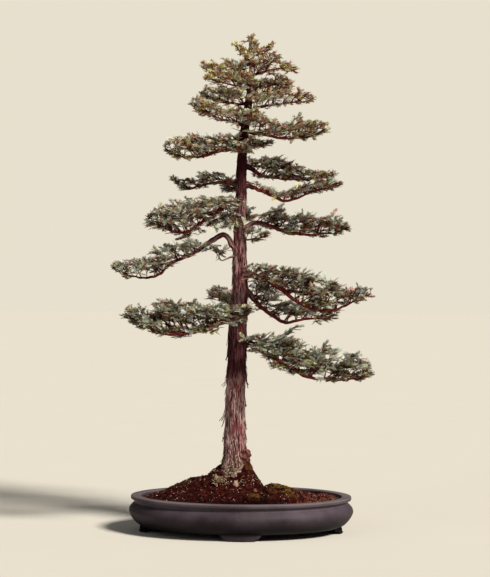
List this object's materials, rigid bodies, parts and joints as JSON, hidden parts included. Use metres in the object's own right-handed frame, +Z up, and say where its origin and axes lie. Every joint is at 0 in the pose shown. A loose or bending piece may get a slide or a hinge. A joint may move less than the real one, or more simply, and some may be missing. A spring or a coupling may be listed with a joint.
{
  "type": "coast redwood bonsai",
  "caption": "Formal upright coast redwood bonsai with layered needle sprays, on a mossy soil mound in a shallow oval footed clay pot.",
  "frame": {"origin": "on the surface the pot stands on, under the middle of the pot", "axes": "+Z up along the trunk, +X along the pot's long side to the viewer's right, -Y towards the viewer of the tree's front"},
  "size_m": [0.5812, 0.364, 1.11],
  "materials": {
    "unglazed_clay": "unglazed, dark grey-brown, softly worn",
    "soil_and_moss": "loose dark red-brown grains with olive moss",
    "redwood_bark": "fibrous red-brown bark, silvered on its ridges",
    "redwood_needles": "living blue-green needles, dull wax",
    "screen_plastic": "plain moulded mesh"
  },
  "bodies": {
    "root": {"drain_screen_left": "screen_plastic", "drain_screen_right": "screen_plastic", "leaves_apex": "redwood_needles", "leaves_back_crown": "redwood_needles", "leaves_back_crown_high": "redwood_needles", "leaves_back_low": "redwood_needles", "leaves_back_mid": "redwood_needles", "leaves_back_top": "redwood_needles", "leaves_back_top_high": "redwood_needles", "leaves_back_upper": "redwood_needles", "leaves_front_crown": "redwood_needles", "leaves_front_crown_high": "redwood_needles", "leaves_front_low": "redwood_needles", "leaves_front_top": "redwood_needles", "leaves_front_top_high": "redwood_needles", "leaves_left_crown_high": "redwood_needles", "leaves_left_crown_low": "redwood_needles", "leaves_left_crown_mid": "redwood_needles", "leaves_left_high": "redwood_needles", "leaves_left_low": "redwood_needles", "leaves_left_mid": "redwood_needles", "leaves_left_mid_twig": "redwood_needles", "leaves_left_top": "redwood_needles", "leaves_left_top_low": "redwood_needles", "leaves_left_upper": "redwood_needles", "leaves_left_upper_front": "redwood_needles", "leaves_right_crown_high": "redwood_needles", "leaves_right_crown_low": "redwood_needles", "leaves_right_crown_mid": "redwood_needles", "leaves_right_crown_twig": "redwood_needles", "leaves_right_high": "redwood_needles", "leaves_right_high_twig": "redwood_needles", "leaves_right_low": "redwood_needles", "leaves_right_mid_high": "redwood_needles", "leaves_right_mid_low": "redwood_needles", "leaves_right_top": "redwood_needles", "leaves_right_top_low": "redwood_needles", "leaves_right_upper": "redwood_needles", "leaves_right_upper_back": "redwood_needles", "pot": "unglazed_clay", "soil": "soil_and_moss", "tree_wood": "redwood_bark"}
  },
  "joints": []
}
